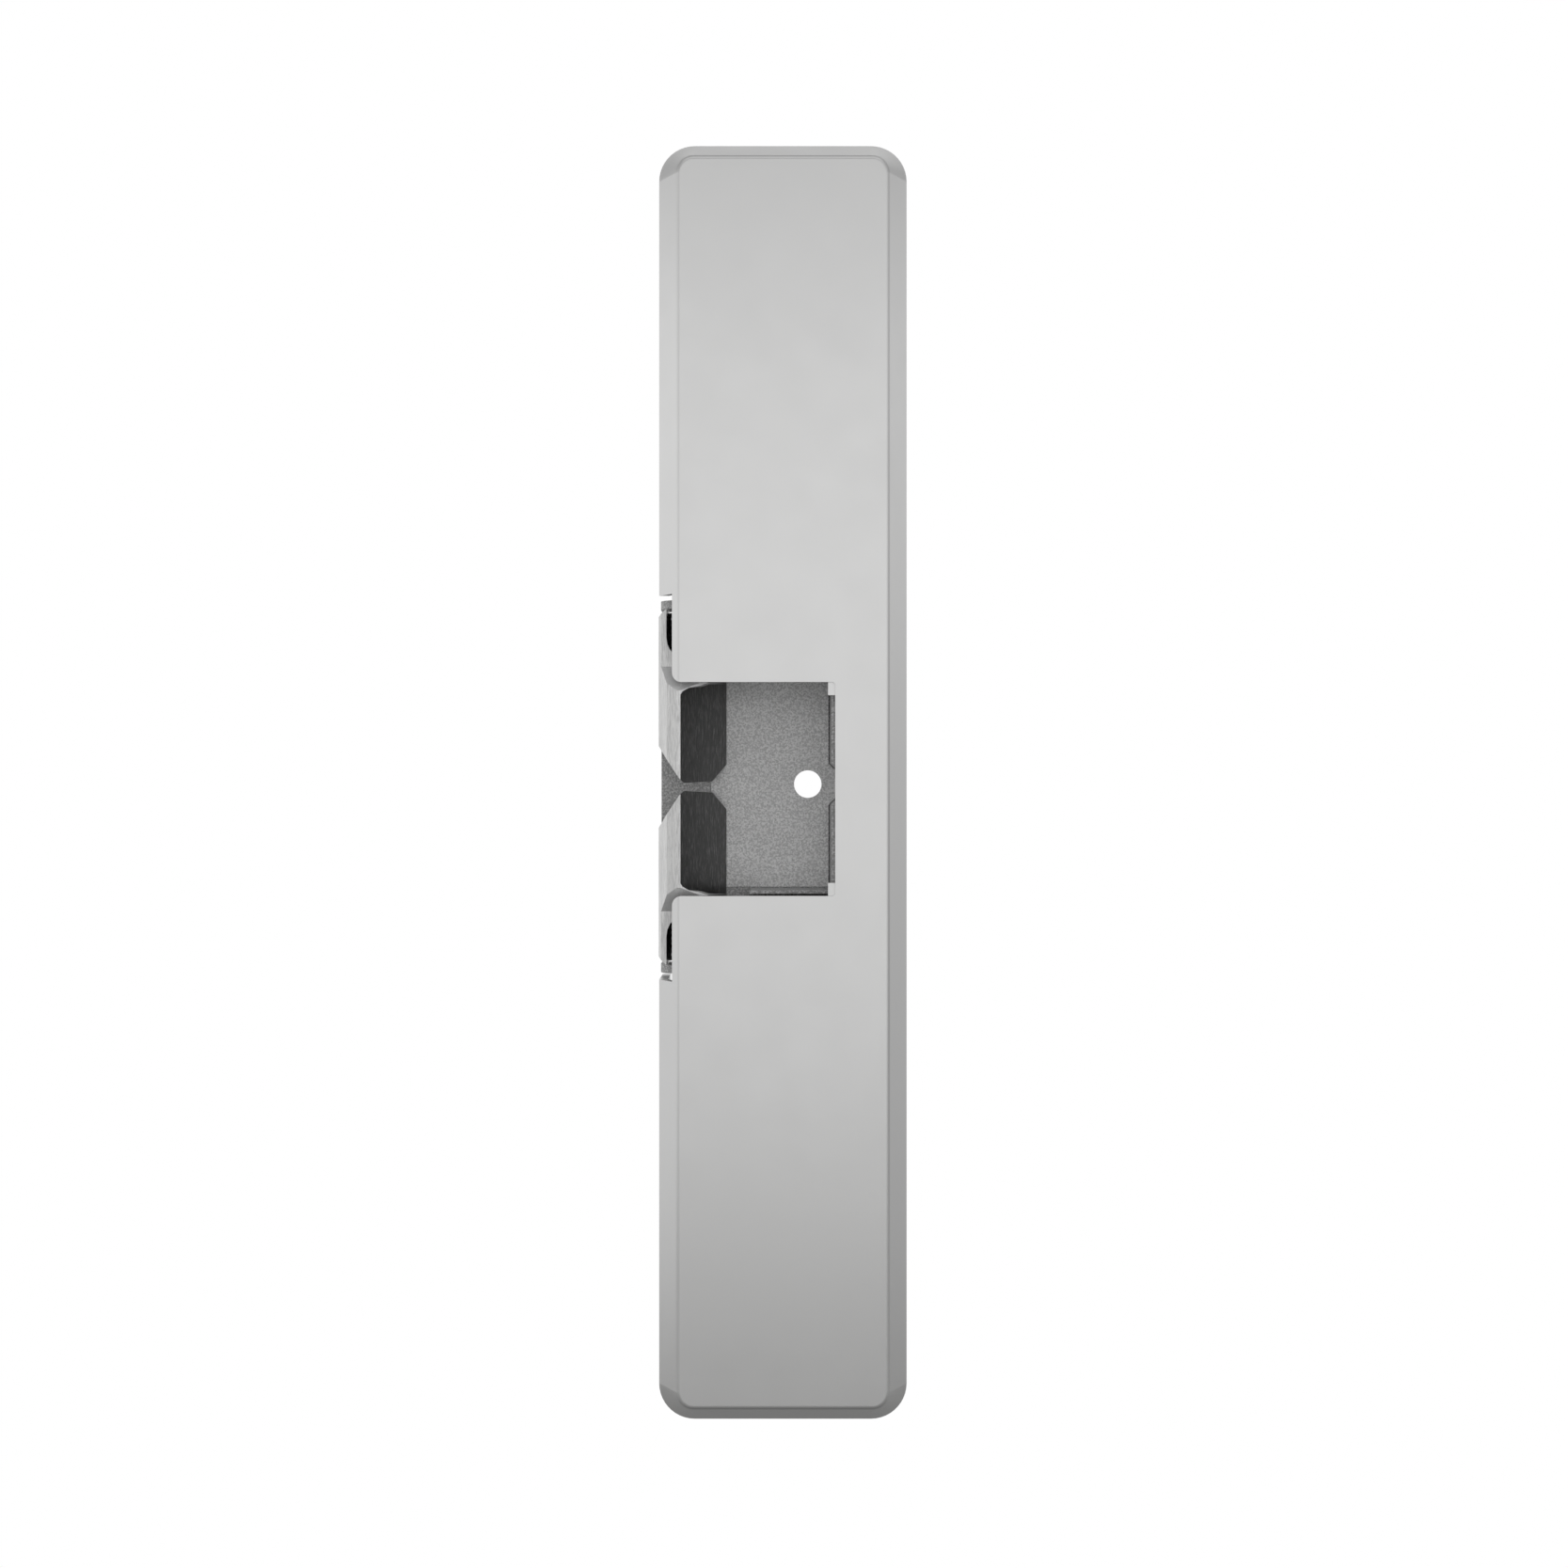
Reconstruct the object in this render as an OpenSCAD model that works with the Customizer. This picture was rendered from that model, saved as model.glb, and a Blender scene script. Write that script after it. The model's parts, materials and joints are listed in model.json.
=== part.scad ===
// Surface-mounted electric door strike for a rim latch, with two swinging keepers.
// Millimetres. +X runs from the keeper side to the far side, +Z up, and the face looks to -Y.
// The back lies on the jamb at Y = 0 and the origin is the centre of that back face.
// The two halves of the mechanism mirror each other about the height mech_z.

/* [Body] */
// Overall width across the face
body_w = 44.45; // [44:0.05:46]
// Overall height
body_h = 228.6; // [228:0.1:234]
// Overall depth from the jamb to the face
body_d = 19.05; // [19:0.05:20]
// Cover sheet thickness
cover_t = 1.5;
// Cover corner radius seen from the front
corner_r = 6.4;
// How far the bevel steps in from each side
bevel_in = 3.55;
// How deep the bevel reaches back from the face
bevel_d = 6.2;
// Radius of the rounding between bevel and face
face_r = 0.9;

/* [Notch] */
// Top edge of the face notch
notch_top = 17.75;
// Bottom edge of the face notch
notch_bottom = -20.1;
// Closed end of the face notch
notch_x = 9.26;
// Free edge of the face beside the keepers
free_edge_x = -19.7;
// Upper end of the cut-away in the cover's side
side_cut_top = 33.5;
// Lower end of the cut-away in the cover's side
side_cut_bottom = -35.4;
// Rounding of the notch's outer corners
notch_outer_r = 1.8;
// Rounding of the notch's inner corners
notch_inner_r = 0.6;

/* [Mechanism] */
// Height of the plane that the two halves mirror about
mech_z = -0.8;
// Keeper hinge, across
hinge_x = -18.15;
// Keeper hinge, height above the jamb
hinge_y = 4.8;
// Hinge pin radius
hinge_pin_r = 1.5;
// Running clearance on a pin's radius
run_gap = 0.05;
// Keeper barrel radius around the hinge
barrel_r = 4.3;
// Half of the gap between the keepers
keeper_gap = 0.7;
// Keeper's outer end, from the mirror plane
keeper_end = 31.95;
// Keeper swing when it lets the latch out
keeper_swing = 60;

/* [Lock] */
// Lever pivot, across
pivot_x = 2;
// Lever pivot, from the mirror plane
pivot_z = 43;
// Distance from the pivot to the plunger axis
lever_arm = 10;
// Lever plate thickness
lever_t = 2.2;
// Lever and solenoid axis, height above the jamb
axis_y = 10.2;
// Plunger radius
plunger_r = 3;
// Winding outer radius
coil_r = 5.6;
// Plunger end of the solenoid frame, from the mirror plane
sol_z = 60.8;
// Solenoid frame length
sol_h = 28.4;

/* [Base] */
// Base casting thickness
base_t = 3;
// Gap between the base and the cover wall
base_gap = 0.2;
// Pocket floor insert thickness
floor_t = 1.2;
// Centre fixing hole radius
fix_r = 2.55;
// Centre fixing hole, across
fix_x = 4.6;
// Centre fixing hole, height
fix_z = -0.3;
// Distance between the two mounting slots
slot_pitch = 210;
// Half of a mounting slot's width
slot_r = 2.75;
// Mounting slot length end to end
slot_len = 9;

/* [Show] */
// Sub-part to draw, or all

/* [Hidden] */
$fn = 64;
eps = 0.01;
big = 300;
fit_gap = 0.3;
hole_play = 0.15;

// cover
face_y = body_d - bevel_d;
bevel_angle = atan(bevel_in / bevel_d);
skin = cover_t / cos(bevel_angle) - cover_t;
face_steps = 5;
side_relief_top = 36.5;
// thinned back of the free edge, where the keepers swing past
edge_relief_x = -17.2;
edge_relief_y = 16.45;
// small tabs in the notch's inner corners
tab_x = 8;
tab_h = 2.3;
tab_root = 0.3;
tab_low = 17.7;
tab_top = 18.4;
screw_r = 1.5;
screw_head_r = 2.8;
screw_head_h = 1.4;
screw_len = 7;
screw_y = 7.5;
hex_r = 1;
hex_deep = 0.9;

// keeper section, as [across, height above the jamb]
peak_y = 17.4;
peak_left = -18.9;
peak_right = -18.2;
foot_x = -10.4;
foot_y = base_t + 0.35;
heel_y = 4;
side_y = 10.4;
shoulder_x = -20.7;
shoulder_y = 15.8;
keeper_left = hinge_x - barrel_r;
low_y = 12;
block_nose_x = -13.4;
block_nose_y = 15;
// facet that dips under the cover, measured from the notch's edge
facet_in = 1.4;
facet_out = 3.1;
// inner side of the keeper's block, as [across, distance from the notch's edge]
cheek_curve = [[-18.2, -2.2], [-17.8, -1.55], [-16.8, -0.9], [-14.7, -0.5], [-13.4, 0.05], [-9, 0.6]];
// front outline of the two ends that meet in a V, as [across, distance from the mirror plane]
v_outline = [[-22.45, 7.4], [-18.4, 1.5], [-17.6, 0.7], [-12.9, 1], [-10.4, 4.1]];
corner_cut = 1.3;
tail_x = -7;
tail_y = 8.6;
tail_start = 21.5;
tail_end = 30.5;
recess_start = 23.9;
recess_r = 2.83;
// inner end of the recess, as [across from the hinge, distance from the mirror plane]
recess_curve = [[-2.83, 26.9], [-2.65, 25.7], [-2.2, 24.7], [-1.5, 23.9]];
tongue_half = 7.6;
ear_start = 5;
ear_end = tongue_half;
ear_r = 2.6;
hollow_r = 3;
keeper_clear = 0.4;

// base
base_w = body_w - 2 * cover_t - 2 * base_gap;
base_h = body_h - 2 * cover_t - 2 * base_gap;
base_r = corner_r - cover_t - base_gap;
lug_start = 32.35;
lug_end = 33.9;
lug_r = 4.2;
well_x = -13.6;
wall_upper = 19.5;
wall_lower = 18.6;
wall_t = 1.5;
wall_top = 17;
end_wall_t = 0.6;
end_wall_top = 12.6;
floor_gap = 0.2;
strip_w = 1.2;
strip_h = 3;
wall_x0 = -6;
right_wall_x = 8.62;
right_wall_t = 2.2;
floor_left = -13.3;
floor_right = 8.4;
floor_bump_x = 9.8;
floor_bump_half = 2.4;
floor_bump_slope = 1.4;
boss_r = 3.6;
boss_top = axis_y - lever_t / 2 - 0.2;
end_tab_w = 10;
end_tab_t = 2.5;
end_tab_top = 12;
outlet = [5, 88, 12, 10];
board = [6, 50, 13, 33];
board_y = 7;
board_t = 1.6;
board_hole_r = 1.1;
board_margin = 2.6;
standoff_r = 2.2;
// header as [left edge, width, low end, high end, height off the board]
header = [7.5, 10, 69, 78, 6.4];
disc_r = 3.6;
disc_t = 2.6;
disc_z = 60.7;
board_screw_len = 4;
header_wall = 0.8;
header_end_low = 2;
header_end_high = 1;
header_pins_n = 4;
header_pitch = 2;
header_pin_x = 1.5;
header_pin_y = 2.8;
header_pin_w = 0.6;
diode_r = 1.3;
diode_low = 54.6;
diode_high = 58.6;
diode_x = 4;
diode_pitch = 5;

// lever
pin_slot_r = 1.2;
pin_slot_play = 0.5;
hub_r = 3.6;
arm_r = 2.4;
tip = [-6.3, -1.3, 23, 29];
neck_w = 4.6;
lever_pin_top = 13;
clip_y = 11.6;
clip_t = 0.7;
clip_r = 3;
clip_groove = 0.3;
clip_play = 0.03;

// solenoid
plunger_x = pivot_x - lever_arm;
frame_half = 6.5;
frame_t = 1.2;
frame_back = base_t;
frame_front = 16.4;
bobbin_in = plunger_r + 0.15;
bobbin_out = 3.7;
flange_t = 0.8;
flange_r = 5.9;
plunger_low = 40;
plunger_top = 76.5;
core_low = 80;
clevis_slot = lever_t + 0.6;
clevis_deep = 8;
clevis_pin_r = 1;
collar_z = 52;
collar_t = 0.8;
collar_r = 4.6;
groove_r = 2.3;
spring_r = 3.9;
spring_wire = 0.6;
spring_turns = 5;
ear_w = 6;
small_screw_r = 1.2;
small_head_r = 2.2;
small_head_h = 1.3;
small_hole_deep = 2.4;
slot_half = 0.3;
slot_deep = 0.6;
ear_gap = 0.5;

// torsion spring
twist_r = 2.05;
twist_wire = 0.6;
twist_turns = 6;
twist_leg = 0.8;
twist_low = 24.8;
twist_high = 30.7;

// ---- helpers ----

// The box between two opposite corners. Depths are given as heights above the jamb.
module block(x0, x1, y0, y1, z0, z1) {
    translate([x0, -y1, z0]) cube([x1 - x0, y1 - y0, z1 - z0]);
}

// An outline in X and height above the jamb, drawn along Z from z0 to z1.
module along_z(points, z0, z1) {
    translate([0, 0, z0]) linear_extrude(z1 - z0) mirror([0, 1]) polygon(points);
}

// An outline in X and Z, drawn from depth y0 to depth y1 above the jamb.
module along_y(y0, y1) {
    translate([0, -y0, 0]) rotate([90, 0, 0]) linear_extrude(y1 - y0) children();
}

// A cylinder standing up from the jamb.
module post(x, z, r, y0, y1) {
    translate([x, -y0, z]) rotate([90, 0, 0]) cylinder(h = y1 - y0, r = r);
}

// A cylinder along Z.
module rod(x, y, r, z0, z1) {
    translate([x, -y, z0]) cylinder(h = z1 - z0, r = r);
}

// A child drawn for the upper half of the mechanism, or mirrored into the lower half.
module half(up) {
    translate([0, 0, mech_z]) mirror([0, 0, up ? 0 : 1]) children();
}

module both() {
    half(true) children();
    half(false) children();
}

// A rounded slot outline along Z.
module slot_outline(length, r) {
    square([2 * r, length - 2 * r], center = true);
    for (side = [-1, 1]) translate([0, side * (length / 2 - r)]) circle(r);
}

// A round wire along a list of stations [position, outward direction, tangent].
module wire(stations, r, sides = 8) {
    n = len(stations);
    ring = [for (s = stations) let (b = cross(s[2], s[1]))
        for (k = [0 : sides - 1]) s[0] + r * (cos(360 * k / sides) * s[1] + sin(360 * k / sides) * b)];
    skin_faces = [for (i = [0 : n - 2]) for (k = [0 : sides - 1]) let (
        a = i * sides + k, b = i * sides + (k + 1) % sides)
        [a, b, b + sides, a + sides]];
    caps = [[for (k = [sides - 1 : -1 : 0]) k], [for (k = [0 : sides - 1]) (n - 1) * sides + k]];
    polyhedron(points = ring, faces = concat(skin_faces, caps), convexity = 8);
}

// Stations of a helix about Z, with closed end turns and a straight leg of the given length at each end.
function helix(r, z0, z1, turns, leg, steps = 18) =
    let (
        n = turns * steps,
        body = [for (i = [0 : n]) let (a = 360 * i / steps, z = z0 + (z1 - z0) * i / n)
            [[r * cos(a), r * sin(a), z], [cos(a), sin(a), 0], [-sin(a), cos(a), 0]]],
        first = [[r, -leg, z0], [1, 0, 0], [0, 1, 0]],
        last_a = 360 * turns,
        last = [[r * cos(last_a) - leg * sin(last_a), r * sin(last_a) + leg * cos(last_a), z1],
            [cos(last_a), sin(last_a), 0], [-sin(last_a), cos(last_a), 0]]
    )
    leg > 0 ? concat([first], body, [last]) : body;

// ---- cover ----

// Edge profile as [step in from the wall, height above the jamb], with the face edge rounded.
function outer_profile() = concat(
    [[0, 0], [0, face_y]],
    [for (i = [0 : face_steps]) let (
        a = (90 - bevel_angle) * i / face_steps,
        cut = face_r * tan((90 - bevel_angle) / 2),
        cx = bevel_in + cut, cy = body_d - face_r)
        [cx - face_r * cos(bevel_angle + a), cy + face_r * sin(bevel_angle + a)]]);

function inner_profile() =
    let (start = face_y - skin / tan(bevel_angle), top = body_d - cover_t)
    [[0, -1], [0, start], [(top - start) * tan(bevel_angle), top]];

// A solid tray with a rounded-rectangle outline whose edge follows the profile.
module tray(w, h, r, profile) {
    top = profile[len(profile) - 1];
    low = profile[0];
    across = concat([for (p = profile) [p[0] - w / 2, p[1]]],
        [for (i = [len(profile) - 1 : -1 : 0]) [w / 2 - profile[i][0], profile[i][1]]]);
    upright = concat([for (p = profile) [p[0] - h / 2, p[1]]],
        [for (i = [len(profile) - 1 : -1 : 0]) [h / 2 - profile[i][0], profile[i][1]]]);
    corner = concat([for (p = profile) [r - p[0], p[1]]], [[0, top[1]], [0, low[1]]]);
    along_z(across, r - h / 2, h / 2 - r);
    translate([r - w / 2, 0, 0]) rotate([90, 0, 90]) linear_extrude(w - 2 * r)
        polygon([for (p = upright) [-p[1], p[0]]]);
    for (sx = [-1, 1], sz = [-1, 1])
        translate([sx * (w / 2 - r), 0, sz * (h / 2 - r)]) rotate([90, 0, 0])
            rotate_extrude() polygon(corner);
}

module notch_outline() {
    w = notch_x - free_edge_x;
    h = notch_top - notch_bottom;
    translate([free_edge_x, notch_bottom]) difference() {
        union() {
            square([w - notch_inner_r, h]);
            translate([0, notch_inner_r]) square([w, h - 2 * notch_inner_r]);
            for (z = [notch_inner_r, h - notch_inner_r])
                translate([w - notch_inner_r, z]) circle(notch_inner_r);
            translate([-eps, -notch_outer_r]) square([notch_outer_r, h + 2 * notch_outer_r]);
        }
        for (z = [-notch_outer_r, h + notch_outer_r]) translate([notch_outer_r, z]) circle(notch_outer_r);
    }
}

module cover_body() {
    for (z = [notch_top - tab_h, notch_bottom - tab_root])
        block(tab_x, notch_x + tab_root, tab_low, tab_top, z, z + tab_h + tab_root);
    difference() {
        tray(body_w, body_h, corner_r, outer_profile());
        tray(body_w - 2 * cover_t, body_h - 2 * cover_t, corner_r - cover_t, inner_profile());
        block(-big, free_edge_x, -1, body_d + 1, side_cut_bottom, side_cut_top);
        block(-big, free_edge_x, -1, face_y, side_cut_top - eps, side_relief_top);
        block(free_edge_x - eps, edge_relief_x, -1, edge_relief_y, side_cut_bottom, side_cut_top);
        along_y(face_y, body_d + 1) notch_outline();
        for (side = [-1, 1]) cover_screw_place(side) {
            translate([0, 0, -cover_t - 1]) cylinder(h = cover_t + 2, r = screw_r + hole_play);
            translate([0, 0, -screw_head_h])
                cylinder(h = screw_head_h, r1 = screw_r + hole_play, r2 = screw_head_r + hole_play);
        }
    }
}

// Children drawn at an end screw, with +Z pointing out of the end wall.
module cover_screw_place(side) {
    translate([0, -screw_y, side * body_h / 2]) mirror([0, 0, side > 0 ? 0 : 1]) children();
}

module cover_screw() {
    difference() {
        union() {
            translate([0, 0, -screw_head_h - run_gap])
                cylinder(h = screw_head_h, r1 = screw_r, r2 = screw_head_r);
            translate([0, 0, -screw_len]) cylinder(h = screw_len - screw_head_h, r = screw_r);
        }
        translate([0, 0, -hex_deep]) cylinder(h = hex_deep + 1, r = hex_r, $fn = 6);
    }
}

// ---- base ----

module floor_outline(grow) {
    low = mech_z - wall_lower + floor_gap - grow;
    high = mech_z + wall_upper - floor_gap + grow;
    bump = floor_bump_half + grow;
    polygon([
        [floor_left - grow, low], [floor_right + grow, low],
        [floor_right + grow, fix_z - bump - floor_bump_slope], [floor_bump_x + grow, fix_z - bump],
        [floor_bump_x + grow, fix_z + bump], [floor_right + grow, fix_z + bump + floor_bump_slope],
        [floor_right + grow, high], [floor_left - grow, high]
    ]);
}

module base_body() {
    plate_left = -base_w / 2;
    difference() {
        union() {
            along_y(0, base_t) rounded_flat(base_w, base_h, base_r);
            half(true) half_base(wall_upper);
            half(false) half_base(wall_lower);
            block(keeper_left + fit_gap / 3, well_x, 0, base_t, mech_z - tongue_half, mech_z + tongue_half);
            block(right_wall_x, right_wall_x + right_wall_t, base_t - eps, wall_top,
                mech_z - wall_lower - wall_t, mech_z + wall_upper + wall_t);
            for (side = [-1, 1]) let (z = side * (base_h - end_tab_t) / 2)
                block(-end_tab_w / 2, end_tab_w / 2, base_t - eps, end_tab_top,
                    z - end_tab_t / 2, z + end_tab_t / 2);
            for (z = board_holes()) post(board[0] + board[2] / 2, z, standoff_r, base_t - eps, board_y);
        }
        // wells that the keeper barrels turn in
        for (up = [true, false]) half(up)
            block(-big, well_x, -1, base_t + 1, tongue_half, lug_start);
        // strip beside the side cut-away
        for (up = [true, false]) half(up)
            block(-big, plate_left + strip_w, -1, base_t + 1, lug_end, lug_end + strip_h);
        // seat of the pocket floor, and the far wall's relief round the floor's bump
        along_y(base_t - floor_t, body_d) floor_outline(floor_gap / 2);
        // relief between the seat and the far wall
        block(floor_right, right_wall_x, base_t - floor_t, base_t + 1, mech_z - wall_lower + floor_gap / 2,
            mech_z + wall_upper - floor_gap / 2);
        post(fix_x, fix_z, fix_r, -1, base_t + 1);
        for (side = [-1, 1]) translate([0, 0, side * slot_pitch / 2])
            along_y(-1, base_t + 1) slot_outline(slot_len, slot_r);
        along_y(-1, base_t + 1) translate([outlet[0] + outlet[2] / 2, outlet[1] + outlet[3] / 2])
            rounded_flat(outlet[2], outlet[3], 2);
        for (side = [-1, 1]) cover_screw_place(side)
            translate([0, 0, -screw_len - 2]) cylinder(h = screw_len + 2, r = screw_r);
        for (z = board_holes()) post(board[0] + board[2] / 2, z, board_hole_r, base_t - 1, board_y + 1);
    }
}

function board_holes() = [board[1] + board_margin, board[1] + board[3] - board_margin];

// A rounded rectangle in the plane of the jamb.
module rounded_flat(w, h, r) {
    square([w - 2 * r, h], center = true);
    square([w, h - 2 * r], center = true);
    for (sx = [-1, 1], sz = [-1, 1]) translate([sx * (w / 2 - r), sz * (h / 2 - r)]) circle(r);
}

// What the base carries in one half: hinge lug, hinge ear, end wall and lever boss.
module half_base(wall) {
    difference() {
        union() {
            rod(hinge_x, hinge_y, lug_r, lug_start, lug_end);
            block(hinge_x - lug_r, hinge_x + lug_r, 0, hinge_y, lug_start, lug_end);
        }
        rod(hinge_x, hinge_y, hinge_pin_r, lug_start - 1, lug_end + 1);
    }
    difference() {
        union() {
            rod(hinge_x, hinge_y, ear_r, ear_start, ear_end);
            block(hinge_x - ear_r, hinge_x + ear_r, base_t - eps, hinge_y, ear_start, ear_end);
        }
        rod(hinge_x, hinge_y, hinge_pin_r, ear_start - 1, ear_end + 1);
    }
    block(wall_x0, right_wall_x + eps, base_t - eps, end_wall_top, wall, wall + end_wall_t);
    difference() {
        post(pivot_x, pivot_z, boss_r, base_t - eps, boss_top);
        post(pivot_x, pivot_z, screw_r, base_t + 1, boss_top + 1);
    }
}

module base_drilled() {
    difference() {
        base_body();
        for (up = [true, false]) half(up) for (p = screw_points())
            post(p[0], p[1], small_screw_r, base_t - small_hole_deep, base_t + 1);
    }
}

// ---- keepers ----

// Section of the keeper's inner end that stays clear of the hinge ear and of the tongue through the swing.
function hollow_section() =
    let (
        reach = 2 * barrel_r,
        c = hinge_y - foot_y,
        edge = hollow_r * tan(22.5),
        meet = -(c + (hollow_r + edge) * cos(keeper_swing)) / (sin(keeper_swing) + cos(keeper_swing)),
        outline = [
            [hollow_r, -reach], [hollow_r, edge], [edge, hollow_r], [-edge, hollow_r],
            [meet, hollow_r + edge + meet],
            [-reach, (sin(keeper_swing) * reach - c) / cos(keeper_swing)], [-reach, -reach]
        ]
    )
    [for (p = outline) [hinge_x + p[0], hinge_y + p[1]]];

module keeper(edge) {
    bottom = [
        [hinge_x + barrel_r - fit_gap, foot_y], [hinge_x, heel_y], [keeper_left, heel_y],
        [keeper_left, side_y], [shoulder_x, shoulder_y]
    ];
    ridge = [[peak_left, peak_y], [peak_right, peak_y]];
    section = concat(ridge, [[foot_x, foot_y]], bottom);
    block_section = concat(ridge, [[block_nose_x, block_nose_y], [foot_x, foot_y]], bottom);
    side = peak_right - 2 * barrel_r;
    difference() {
        union() {
            intersection() {
                along_z(section, keeper_gap, edge + facet_in);
                along_y(0, body_d) polygon(concat([[side, v_outline[0][1]]], v_outline,
                    [[foot_x, keeper_end], [side, keeper_end]]));
            }
            difference() {
                along_z(block_section, edge - facet_out, keeper_end);
                along_y(0, body_d) polygon(concat([[side, edge - facet_out - 1]],
                    [[side, edge + cheek_curve[0][1]]], [for (p = cheek_curve) [p[0], edge + p[1]]],
                    [[foot_x + 2, edge - facet_out - 1]]));
            }
            rod(hinge_x, hinge_y, barrel_r, tongue_half + fit_gap, keeper_end);
            block(block_nose_x, tail_x, foot_y, tail_y, tail_start, tail_end);
        }
        rod(hinge_x, hinge_y, hinge_pin_r + run_gap, 0, keeper_end + 1);
        along_z(hollow_section(), keeper_gap - 1, tongue_half + keeper_clear);
        // slanted facet down to the level under the cover
        translate([-big / 2, 0, 0]) rotate([90, 0, 90]) linear_extrude(big) polygon([
            [-peak_y, edge - facet_in], [-low_y, edge + facet_out], [-low_y, keeper_end + 1],
            [-big, keeper_end + 1], [-big, edge - facet_in]
        ]);
        // cut corner at the outer end
        along_y(0, body_d) polygon([
            [keeper_left - 1, keeper_end - corner_cut - 1], [keeper_left + corner_cut + 1, keeper_end + 1],
            [keeper_left - 1, keeper_end + 1]
        ]);
        // recess round the spring, open to the front
        rod(hinge_x, hinge_y, recess_r, recess_start, keeper_end + 1);
        along_y(hinge_y, low_y + 1) polygon(concat(
            [[hinge_x - recess_r, keeper_end + 1]], [for (p = recess_curve) [hinge_x + p[0], p[1]]],
            [[hinge_x + recess_r, recess_start], [hinge_x + recess_r, keeper_end + 1]]));
    }
}

module keeper_spring() {
    translate([hinge_x, -hinge_y, 0]) rotate([0, 0, 180])
        wire(helix(twist_r, twist_low, twist_high, twist_turns, twist_leg), twist_wire / 2);
}

// ---- lock levers ----

module lever() {
    y0 = axis_y - lever_t / 2;
    y1 = axis_y + lever_t / 2;
    difference() {
        union() {
            post(pivot_x, pivot_z, hub_r, y0, y1);
            post(plunger_x, pivot_z, arm_r, y0, y1);
            block(plunger_x, pivot_x, y0, y1, pivot_z - arm_r, pivot_z + arm_r);
            along_y(y0, y1) polygon([
                [tip[1] - neck_w, tip[3] - 1], [tip[1], tip[3] - 1],
                [pivot_x + hub_r - fit_gap, pivot_z - 1], [pivot_x - hub_r + fit_gap, pivot_z - 1]
            ]);
            block(tip[0], tip[1], y0, y1, tip[2], tip[3]);
        }
        post(pivot_x, pivot_z, screw_r + run_gap, y0 - 1, y1 + 1);
        post(plunger_x - pin_slot_play, pivot_z, pin_slot_r, y0 - 1, y1 + 1);
        post(plunger_x + pin_slot_play, pivot_z, pin_slot_r, y0 - 1, y1 + 1);
        block(plunger_x - pin_slot_play, plunger_x + pin_slot_play, y0 - 1, y1 + 1,
            pivot_z - pin_slot_r, pivot_z + pin_slot_r);
    }
}

module lever_pin() {
    post(pivot_x, pivot_z, screw_r, base_t + 1, clip_y);
    post(pivot_x, pivot_z, screw_r - clip_groove, clip_y - eps, clip_y + clip_t + eps);
    post(pivot_x, pivot_z, screw_r, clip_y + clip_t, lever_pin_top);
}

module lever_clip() {
    difference() {
        post(pivot_x, pivot_z, clip_r, clip_y + clip_play, clip_y + clip_t - clip_play);
        post(pivot_x, pivot_z, screw_r - clip_groove + clip_play, clip_y - 1, clip_y + clip_t + 1);
        block(pivot_x - 1, pivot_x + 1, clip_y - 1, clip_y + clip_t + 1, pivot_z, pivot_z + clip_r + 1);
    }
}

// ---- solenoids ----

function screw_points() = [
    [plunger_x, sol_z + sol_h + ear_w / 2 + ear_gap],
    [plunger_x + frame_half + ear_w / 2, sol_z + sol_h / 2]
];

module solenoid_frame() {
    top = sol_z + sol_h;
    left = plunger_x - frame_half;
    right = plunger_x + frame_half;
    difference() {
        union() {
            block(left, right, frame_back, frame_back + frame_t, sol_z, top + ear_w + ear_gap);
            block(right - eps, right + ear_w, frame_back, frame_back + frame_t,
                sol_z + sol_h / 2 - ear_w / 2, sol_z + sol_h / 2 + ear_w / 2);
            block(left, right, frame_back, frame_front, sol_z, sol_z + frame_t);
            block(left, right, frame_back, frame_front, top - frame_t, top);
        }
        rod(plunger_x, axis_y, plunger_r + run_gap * 3, sol_z - 1, sol_z + frame_t + 1);
        rod(plunger_x, axis_y, plunger_r, top - frame_t - 1, top + 1);
        for (p = screw_points())
            post(p[0], p[1], small_screw_r + hole_play, 0, frame_back + frame_t + 1);
    }
}

module bobbin() {
    z0 = sol_z + frame_t;
    z1 = sol_z + sol_h - frame_t;
    difference() {
        union() {
            rod(plunger_x, axis_y, bobbin_out, z0, z1);
            rod(plunger_x, axis_y, flange_r, z0, z0 + flange_t);
            rod(plunger_x, axis_y, flange_r, z1 - flange_t, z1);
        }
        rod(plunger_x, axis_y, bobbin_in, z0 - 1, z1 + 1);
    }
}

module coil() {
    z0 = sol_z + frame_t + flange_t;
    z1 = sol_z + sol_h - frame_t - flange_t;
    difference() {
        rod(plunger_x, axis_y, coil_r, z0, z1);
        rod(plunger_x, axis_y, bobbin_out, z0 - 1, z1 + 1);
    }
}

module core() {
    rod(plunger_x, axis_y, plunger_r, core_low, sol_z + sol_h + 1);
}

module plunger() {
    difference() {
        union() {
            rod(plunger_x, axis_y, plunger_r, plunger_low, collar_z);
            rod(plunger_x, axis_y, groove_r, collar_z - eps, collar_z + collar_t + eps);
            rod(plunger_x, axis_y, plunger_r, collar_z + collar_t, plunger_top);
        }
        block(plunger_x - plunger_r - 1, plunger_x + plunger_r + 1, axis_y - clevis_slot / 2,
            axis_y + clevis_slot / 2, plunger_low - 1, plunger_low + clevis_deep);
        post(plunger_x, pivot_z, clevis_pin_r, axis_y - plunger_r - 1, axis_y + plunger_r + 1);
    }
}

module plunger_pin() {
    post(plunger_x, pivot_z, clevis_pin_r, axis_y - plunger_r, axis_y + plunger_r);
}

module collar() {
    difference() {
        rod(plunger_x, axis_y, collar_r, collar_z + clip_play, collar_z + collar_t - clip_play);
        rod(plunger_x, axis_y, groove_r, collar_z - 1, collar_z + collar_t + 1);
    }
}

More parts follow.
